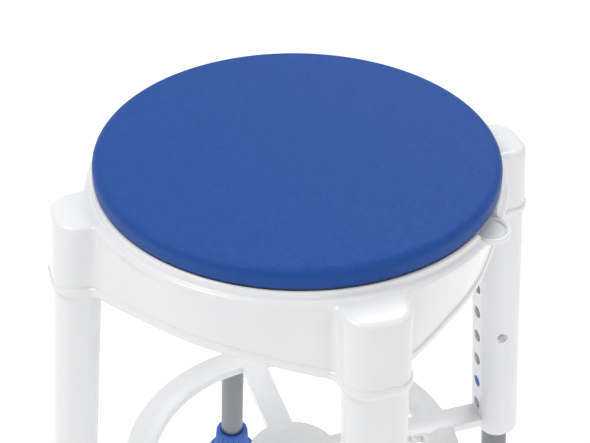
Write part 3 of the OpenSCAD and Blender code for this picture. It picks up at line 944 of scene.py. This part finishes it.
@dataclass
class Brace:
    """The ring and its four ridged spokes that tie the legs together."""

    line: LegLine
    drop: float = 323 * MM
    thick: float = 9 * MM
    outer: float = 162 * MM
    inner: float = 133.5 * MM
    hub: float = 43.5 * MM
    step: float = 29 * MM
    boss: float = 17 * MM
    step_height: float = 2.5 * MM
    spoke: float = 25 * MM
    ridge: float = 2 * MM
    slot_turn: float = 36.0

    @property
    def bottom(self) -> float:
        """Height of the brace's underside."""
        return self.line.top - self.drop - self.thick

    @property
    def spoke_end(self) -> float:
        """Distance of a spoke's end from the seat's axis, just inside the leg's wall."""
        middle = self.line.low - self.bottom - self.thick / 2
        return self.line.radius + middle * self.line.lean - 19 * MM + 1.5 * MM

    def band(self) -> bpy.types.Object:
        """Models the ring with its low ridge and soft edges."""
        low, top = self.bottom, self.bottom + self.thick
        middle, soft = (self.outer + self.inner) / 2, 0.8 * MM
        inner, outer, chamfer, half = self.inner, self.outer, soft * 0.3, 1.2 * MM
        profile = [
            (inner, low + soft), (inner, top - soft), (inner + chamfer, top - chamfer), (inner + soft, top),
            (middle - half, top + 0.5 * MM), (middle, top + 0.7 * MM), (middle + half, top + 0.5 * MM),
            (outer - soft, top), (outer - chamfer, top - chamfer), (outer, top - soft), (outer, low + soft),
            (outer - soft, low), (inner + soft, low),
        ]
        return spun("brace_moulding", profile, 144)

    def middle(self) -> bpy.types.Object:
        """Models the hub with its two steps."""
        low, top, soft, chamfer = self.bottom, self.bottom + self.thick, 0.7 * MM, 0.21 * MM
        profile = [(0.0, low), (self.hub - soft, low), (self.hub, low + soft)]
        for radius, height in (
            (self.hub, top), (self.step, top + self.step_height), (self.boss, top + 2 * self.step_height),
        ):
            profile += [(radius, height - soft), (radius - chamfer, height - chamfer), (radius - soft, height)]
        profile.append((0.0, top + 2 * self.step_height))
        return spun("hub", profile, 96)

    def spoke_shape(self, corner: Corner) -> bpy.types.Object:
        """Models one spoke, whose top slopes up to a ridge along its middle."""
        low, top, half = self.bottom, self.bottom + self.thick, self.spoke / 2
        shape = block("spoke", (30 * MM, -half, low), (self.spoke_end, half, top))
        edit(shape)
        select_all()
        bpy.ops.mesh.bisect(plane_co=(0, 0, 0), plane_no=(0, 1, 0))
        leave_edit()
        select_where(shape, "VERT", lambda at, normal: abs(at.y) < TOUCH and at.z > top - TOUCH)
        bpy.ops.transform.translate(value=(0, 0, self.ridge))
        leave_edit()

        def corners(middle: Vector, along: Vector) -> bool:
            outer = middle.z > top - TOUCH or middle.z < low + TOUCH
            return abs(along.x) > 0.9 and outer and abs(middle.y) > CLOSE

        select_where(shape, "EDGE", corners)
        bpy.ops.mesh.bevel(offset=0.8 * MM, segments=3)
        leave_edit()
        shape.data.transform(corner.turn)
        return shape

    def web(self, side: int) -> tuple[bpy.types.Object, bpy.types.Object]:
        """Models a slotted web beside a right-hand spoke.

        Args:
            side: 1 for the back spoke, -1 for the front one.

        Returns:
            The web and the shape that cuts its slot.
        """
        top = self.bottom + self.thick - 0.3 * MM
        reach = self.inner - 8 * MM
        shape = block("web", (reach - 8 * MM, -13 * MM, self.bottom), (reach + 12 * MM, 13 * MM, top))
        low, past, half = self.bottom, 5 * MM, 4 * MM
        slot = block("slot", (reach - half, -past, low - past), (reach + half, past, top + past))
        for part in (shape, slot):
            part.data.transform(Matrix.Rotation(math.radians(side * self.slot_turn), 4, "Z"))
        return shape, slot

    def build(self, wardrobe: Wardrobe) -> None:
        """Models the brace and dresses it."""
        brace = self.band()
        slots = []
        for side in (-1, 1):
            web, slot = self.web(side)
            combine(brace, web, "UNION")
            slots.append(slot)
        for corner in Corner:
            combine(brace, self.spoke_shape(corner), "UNION")
        combine(brace, self.middle(), "UNION")
        for slot in slots:
            combine(brace, slot, "DIFFERENCE")
        shade(brace, 28)
        hand_over(brace, FRAME_BODY, "brace", wardrobe, WHITE_MOULDING)


@dataclass
class Seat:
    """The round padded seat."""

    line: LegLine
    radius: float = 165 * MM
    thick: float = 17 * MM
    lift: float = 8.2 * MM
    shoulder: float = 8 * MM
    board: float = 150 * MM
    board_top: float = 12.6 * MM
    sides: int = 160
    swell: float = 1.1 * MM

    def skin(self) -> bpy.types.Object:
        """Models the pad's skin: a quad-filled disc whose rim is drawn down over the shoulder.

        Returns:
            The closed pad.
        """
        low, edge, board = self.line.top + self.lift, self.radius, self.board
        top, bend = low + self.thick, edge - self.shoulder
        inner, board_top = bend - 14 * MM, self.line.top + self.board_top
        deselect()
        bpy.ops.mesh.primitive_circle_add(vertices=self.sides, radius=inner)
        pad = named("pad_cushion")
        pad.data.transform(Matrix.Translation((0, 0, top)))
        path = [(bend - 9 * MM, top), (bend - 4 * MM, top)]
        path += [
            (edge - self.shoulder * (1 - math.sin(a)), top - self.shoulder * (1 - math.cos(a))) for a in arc(8)
        ]
        path += [
            (edge, low + 3 * MM), (edge - 0.1 * MM, low + 1 * MM), (edge - 0.7 * MM, low + 0.2 * MM),
            (edge - 2.5 * MM, low), (board + 1 * MM, low), (board + 0.2 * MM, low + 0.5 * MM),
            (board + 0.2 * MM, board_top), (board - 14 * MM, board_top),
        ]
        edit(pad)
        select_all()
        held, height = inner, top
        for reach, level in path:
            bpy.ops.mesh.extrude_region_move(TRANSFORM_OT_translate={"value": (0, 0, level - height)})
            grow = reach / held
            bpy.ops.transform.resize(value=(grow, grow, 1), center_override=(0, 0, level))
            held, height = reach, level
        bpy.ops.mesh.fill_grid(span=self.sides // 4)
        leave_edit()
        rim = inner + CLOSE
        select_where(pad, "EDGE", lambda middle, along: middle.z > top - TOUCH and middle.xy.length < rim)
        bpy.ops.mesh.fill_grid(span=self.sides // 4)
        leave_edit()
        close_and_orient(pad)
        return pad

    def swell_top(self, pad: bpy.types.Object) -> None:
        """Lets the foam push the skin out by a cloth simulation, held at the shoulder and the underside.

        Args:
            pad: the pad, whose mesh takes the result.
        """
        start = coordinates(pad)
        reach = np.hypot(start[:, 0], start[:, 1])
        top = self.line.top + self.lift + self.thick
        free = np.clip((self.radius - self.shoulder - reach) / (30 * MM), 0, 1) * (start[:, 2] > top - 1 * MM)
        pins = pad.vertex_groups.new(name="held")
        for index, amount in enumerate(free):
            pins.add([index], 1.0 if amount <= 0 else 0.0, "REPLACE")
        cloth = pad.modifiers.new("Foam", "CLOTH")
        cloth.settings.quality = 6
        cloth.settings.mass = 0.4
        cloth.settings.tension_stiffness = cloth.settings.compression_stiffness = 40
        cloth.settings.bending_stiffness = 4
        cloth.settings.use_pressure = True
        cloth.settings.uniform_pressure_force = 4
        cloth.settings.vertex_group_mass = pins.name
        cloth.settings.effector_weights.gravity = 0
        cloth.collision_settings.use_collision = False
        scene = bpy.context.scene
        for frame_number in range(1, 21):
            scene.frame_set(frame_number)
        settled = pad.evaluated_get(bpy.context.evaluated_depsgraph_get()).to_mesh()
        moved = np.empty(len(settled.vertices) * 3, dtype=np.float32)
        settled.vertices.foreach_get("co", moved)
        move = moved.reshape(-1, 3) - start
        pad.modifiers.remove(cloth)
        scene.frame_set(1)
        most = np.abs(move[:, 2]).max()
        if most > 1e-7:
            lift = move[:, 2] / most * self.swell
            start[:, 2] += np.clip(lift, 0, self.swell) * free
        place_vertices(pad, start)
        pad.vertex_groups.clear()

    def build(self, wardrobe: Wardrobe) -> None:
        """Models the pad and dresses it."""
        pad = self.skin()
        self.swell_top(pad)
        modify(pad, "SUBSURF", levels=1, render_levels=1)
        shade(pad, 60)
        hand_over(pad, "seat", "seat_pad", wardrobe, PAD_SKIN)


@dataclass
class ReleaseLever:
    """The lever that frees the seat: a finger paddle, an arm and a tooth in one moulding."""

    line: LegLine
    width: float = 33 * MM
    reach: float = 183 * MM
    start: float = 153.2 * MM
    thick: float = 5 * MM
    rim: float = 3.2 * MM
    dish: float = 1.6 * MM

    def paddle(self) -> bpy.types.Object:
        """Models the paddle: a round-ended tab with a raised rim round a smooth dish.

        Returns:
            The paddle.
        """
        tip, top = self.width / 2, self.line.top
        sides = 40
        turns = np.linspace(-math.pi / 2, math.pi / 2, sides - 3)
        outline = [(self.reach - tip + tip * math.cos(a), tip * math.sin(a)) for a in turns]
        outline += [(self.start, tip - 1 * MM), (self.start, 0), (self.start, -tip + 1 * MM)]
        deselect()
        bpy.ops.mesh.primitive_circle_add(vertices=sides, radius=1.0, fill_type="NGON")
        paddle = named("release_lever_moulding")
        place_vertices(paddle, np.array([(x, y, top - self.thick) for x, y in outline]))
        edit(paddle, "FACE")
        select_all()
        bpy.ops.mesh.extrude_region_move(TRANSFORM_OT_translate={"value": (0, 0, self.thick)})
        leave_edit()
        select_where(paddle, "FACE", lambda middle, normal: abs(normal.z) > 0.9 and middle.z > top - TOUCH)
        bpy.ops.mesh.inset(thickness=self.rim)
        bpy.ops.mesh.inset(thickness=1.2 * MM, depth=-self.dish)
        leave_edit()
        close_and_orient(paddle)
        modify(paddle, "BEVEL", width=0.9 * MM, segments=3, limit_method="ANGLE", angle_limit=math.radians(34))
        return paddle

    def build(self, wardrobe: Wardrobe) -> None:
        """Models the lever and dresses it."""
        lever, top = self.paddle(), self.line.top
        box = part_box("release_lever")
        half, far = 11 * MM, self.start + 1.5 * MM
        arm = block("arm", (120 * MM, -half, top - self.thick), (far, half, top - 0.2 * MM))
        modify(arm, "BEVEL", width=0.6 * MM, segments=2)
        tooth = block("tooth", (122 * MM, -4 * MM, top - 1 * MM), (130 * MM, 4 * MM, box[1].z))
        modify(tooth, "BEVEL", width=0.5 * MM, segments=2)
        combine(arm, tooth, "UNION")
        lever = join([lever, arm])
        shade(lever, 30)
        hand_over(lever, "release_lever", "release_lever", wardrobe, WHITE_MOULDING)


@dataclass
class Feet:
    """The four ribbed rubber feet."""

    line: LegLine
    height: float = 41 * MM
    sleeve: float = 17.1 * MM
    base: float = 28 * MM
    rib: float = 1.4 * MM
    ribs: int = 18
    bore: float = 12.5 * MM

    def shape(self) -> bpy.types.Object:
        """Models one foot upright, with its base on Z = 0, leaning out along X as its tube does.

        Returns:
            The foot.
        """
        angle = np.linspace(0, 2 * math.pi, self.ribs * 10 + 1)
        wave = np.abs(np.cos(angle * self.ribs / 2)) ** 0.7
        lean, rows = self.line.lean, []

        def ring(radius: float, z: float, ribbed: float = 0.0) -> None:
            r = radius + self.rib * ribbed * wave
            x = r * np.cos(angle) - lean * max(z - 3 * MM, 0)
            rows.append(np.stack([x, r * np.sin(angle), np.full_like(angle, z)], axis=1))

        for radius, z in ((4, 0.9), (9, 0.9), (10, 0), (15, 0), (16, 0.9), (19, 0.9), (20, 0), (26.4, 0)):
            ring(radius * MM, z * MM)
        for turn in arc(5):
            ring(self.base - 1.6 * MM * (1 - math.sin(turn)), 1.6 * MM * (1 - math.cos(turn)))
        ring(self.base, 3.2 * MM)
        for turn in arc(5):
            ring(self.base - 1.6 * MM * (1 - math.cos(turn)), 3.2 * MM + 1.6 * MM * math.sin(turn))
        for share in np.linspace(0.12, 1, 7):
            flare = (1 - share) ** 2.2
            ring(self.sleeve + 1.6 * MM + (self.base - self.sleeve - 4.4 * MM) * flare,
                 4.8 * MM + 9 * MM * share, min(share * 1.4, 1.0))
        for z in (20, 28, 36):
            ring(self.sleeve + 1.6 * MM * (41 - z) / 27, z * MM, 1.0)
        ring(self.sleeve, self.height - 1.8 * MM, 1.0)
        ring(self.sleeve - 0.2 * MM, self.height - 0.8 * MM, 0.7)
        ring(self.sleeve - 0.9 * MM, self.height - 0.1 * MM, 0.3)
        ring(self.sleeve - 1.9 * MM, self.height)
        ring(self.bore + 0.6 * MM, self.height)
        ring(self.bore, self.height - 0.7 * MM)
        ring(self.bore, 8 * MM)
        ring(4 * MM, 8 * MM)
        rows.append(rows[0])
        return wrapped("foot", np.stack(rows))

    def build(self, wardrobe: Wardrobe) -> None:
        """Models the feet and dresses them."""
        foot = self.shape()
        shade(foot, 50)
        reach = self.line.radius + self.line.low * self.line.lean
        for corner in Corner:
            place = corner.turn @ Matrix.Translation((reach, 0, 0))
            piece = turned_copy(foot, f"foot_{corner.label}_rubber", place)
            name = corner.label
            hand_over(piece, f"tube_{name}", f"foot_{name}", wardrobe, BLUE_RUBBER)
        discard(foot)


@dataclass
class Tubes:
    """The four aluminium tubes and the sprung buttons in them."""

    line: LegLine
    outer: float = 12.5 * MM
    inner: float = 11 * MM
    top: float = -146 * MM
    button_at: float = -216 * MM
    button: float = 6 * MM
    tip: float = 20.2 * MM
    flange: float = 7.2 * MM
    flange_at: float = 6.8 * MM

    def tube(self) -> bpy.types.Object:
        """Models one tube along its axis, with soft cut ends and its button hole."""
        low = -(self.line.low - 8 * MM) / math.cos(math.radians(self.line.splay))
        soft = 0.35 * MM
        profile = [
            (self.outer, low + soft), (self.outer, self.top - soft), (self.outer - soft, self.top),
            (self.inner + soft, self.top), (self.inner, self.top - soft), (self.inner, low + soft),
            (self.inner + soft, low), (self.outer - soft, low),
        ]
        tube = spun("tube", profile, 96)
        hole = rod("hole", self.button + 0.25 * MM, 2 * MM, 20 * MM, sides=40)
        hole.data.transform(Matrix.Translation((0, 0, self.button_at)) @ Matrix.Rotation(-math.pi / 2, 4, "Y"))
        combine(tube, hole, "DIFFERENCE")
        shade(tube, 35)
        return tube

    def cap(self) -> bpy.types.Object:
        """Models one button: a flange in the tube and a stem with a domed tip."""
        dome = 1.9 * MM
        wide, back, front, soft = self.flange, self.flange_at, self.flange_at + 1.5 * MM, 0.3 * MM
        profile = [
            (0.0, back), (wide - soft, back), (wide, back + soft), (wide, front - soft), (wide - soft, front),
            (self.button, front),
        ]
        profile += [(self.button * math.cos(a), self.tip - dome + dome * math.sin(a)) for a in arc(9)[:-1]]
        profile.append((0.0, self.tip))
        cap = spun("cap", profile, 64)
        cap.data.transform(Matrix.Translation((0, 0, self.button_at)) @ Matrix.Rotation(-math.pi / 2, 4, "Y"))
        shade(cap, 40)
        return cap

    def build(self, wardrobe: Wardrobe) -> None:
        """Models the tubes and buttons and dresses them."""
        tube, cap = self.tube(), self.cap()
        for corner in Corner:
            name, place = corner.label, self.line.along(corner)
            piece = turned_copy(tube, f"tube_{name}_drawn", place)
            hand_over(piece, f"tube_{name}", f"tube_{name}", wardrobe, DRAWN_ALUMINIUM)
            piece = turned_copy(cap, f"button_{name}_cap", place)
            hand_over(piece, f"button_{name}", f"button_{name}", wardrobe, BLUE_ACETAL)
        discard(tube, cap)


@dataclass
class Hardware:
    """The frame's own nodes that keep their shape: turntable, board, washers, screws, pins and springs."""

    nodes: dict[str, bpy.types.Object]

    def build(self, wardrobe: Wardrobe) -> None:
        """Dresses each kept node in its finish."""
        zinc = (
            "pad_screws", "pivot_bolt", "steel_washer", "pivot_nut", "lever_pin", "frame_screws", "leg_side_screws",
        )
        springs = ("lever_spring", *(f"button_spring_{corner.label}" for corner in Corner))
        for finish, names in (
            (WHITE_MOULDING, ("turntable",)), (PLYWOOD, ("pad_board",)), (ZINC_STEEL, zinc),
            (NATURAL_NYLON, ("thrust_washer", "glide_ring")), (SPRING_STEEL, springs),
        ):
            for name in names:
                wardrobe.dress(self.nodes[name], finish)
                log.info("%s: %s", name, finish.name)


@dataclass(frozen=True)
class Softbox:
    """One square softbox that faces the seat.

    Attributes:
        name: the light's name.
        azimuth: its direction in degrees, 0 in front and 90 to the right.
        elevation: its height in degrees.
        distance: how far it is from the seat, in metres.
        size: its side, in metres.
        power: its power, in watts.
    """

    name: str
    azimuth: float
    elevation: float
    distance: float
    size: float
    power: float


SOFTBOXES = (
    Softbox("key_softbox", azimuth=-45, elevation=58, distance=2.2, size=0.8, power=19),
    Softbox("side_softbox", azimuth=75, elevation=25, distance=2.4, size=0.9, power=6),
    Softbox("back_softbox", azimuth=185, elevation=55, distance=2.6, size=1.0, power=16),
)


@dataclass
class Studio:
    """The pale floor, the soft lights and the camera."""

    target: float
    azimuth: float = 26.52
    elevation: float = 33.2
    distance: float = 1.0452
    lens: float = 78.01
    pan: float = 0.081
    tilt: float = 2.202
    roll: float = 0.754
    floor_radius: float = 6.0
    floor_glow: float = 0.28
    backdrop: float = 0.58

    def floor(self, wardrobe: Wardrobe) -> None:
        """Lays a wide round sheet of studio paper under the stool."""
        deselect()
        bpy.ops.mesh.primitive_circle_add(vertices=96, radius=self.floor_radius, fill_type="NGON")
        paper = named("studio_floor")
        wardrobe.dress(paper, STUDIO_PAPER)
        shader = next(n for n in paper.data.materials[0].node_tree.nodes if n.type == "BSDF_PRINCIPLED")
        shader.inputs["Emission Color"].default_value = (1.0, 1.0, 1.0, 1.0)
        shader.inputs["Emission Strength"].default_value = self.floor_glow

    def hang(self, box: Softbox) -> None:
        """Hangs one softbox.

        Args:
            box: the softbox.
        """
        away = self.direction(box.azimuth, box.elevation)
        light = bpy.data.lights.new(box.name, "AREA")
        light.shape, light.size, light.energy = "SQUARE", box.size, box.power
        lamp = bpy.data.objects.new(box.name, light)
        lamp.location = Vector((0, 0, self.target)) + away * box.distance
        lamp.rotation_mode = "QUATERNION"
        lamp.rotation_quaternion = away.to_track_quat("Z", "Y")
        bpy.context.scene.collection.objects.link(lamp)

    @staticmethod
    def direction(azimuth: float, elevation: float) -> Vector:
        """A unit vector towards an azimuth and elevation in degrees."""
        a, e = math.radians(azimuth), math.radians(elevation)
        return Vector((math.sin(a) * math.cos(e), -math.cos(a) * math.cos(e), math.sin(e)))

    def camera(self) -> None:
        """Places the camera."""
        data = bpy.data.cameras.new("studio_camera")
        data.lens, data.sensor_width = self.lens, 36.0
        data.clip_start, data.clip_end = 0.05, 50.0
        camera = bpy.data.objects.new("studio_camera", data)
        back = self.direction(self.azimuth + self.pan, self.elevation + self.tilt)
        right = Vector((-back.y, back.x, 0)).normalized()
        up = back.cross(right)
        turn = math.radians(self.roll)
        side = right * math.cos(turn) + up * math.sin(turn)
        head = up * math.cos(turn) - right * math.sin(turn)
        place = Vector((0, 0, self.target)) + self.direction(self.azimuth, self.elevation) * self.distance
        matrix = Matrix((side, head, back)).transposed().to_4x4()
        matrix.translation = place
        camera.matrix_world = matrix
        bpy.context.scene.collection.objects.link(camera)
        bpy.context.scene.camera = camera

    def build(self, wardrobe: Wardrobe) -> None:
        """Sets up the floor, lights, background and camera."""
        self.floor(wardrobe)
        world = bpy.data.worlds.new("studio")
        world.use_nodes = True
        shader = world.node_tree.nodes["Background"]
        shader.inputs["Color"].default_value = (1.0, 1.0, 1.0, 1.0)
        shader.inputs["Strength"].default_value = self.backdrop
        scene = bpy.context.scene
        scene.world = world
        scene.view_settings.view_transform = "Standard"
        for box in SOFTBOXES:
            self.hang(box)
        self.camera()


def main() -> None:
    """Loads the frame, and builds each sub-assembly in order."""
    logging.basicConfig(level=logging.INFO, format="%(message)s")
    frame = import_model()
    line = LegLine()
    wardrobe = Wardrobe()
    for group in (
        SeatFrame(line), Legs(line), Brace(line), Seat(line), ReleaseLever(line), Feet(line), Tubes(line),
        Hardware(frame["nodes"]), Studio(line.top),
    ):
        group.build(wardrobe)


if __name__ == "__main__":
    main()
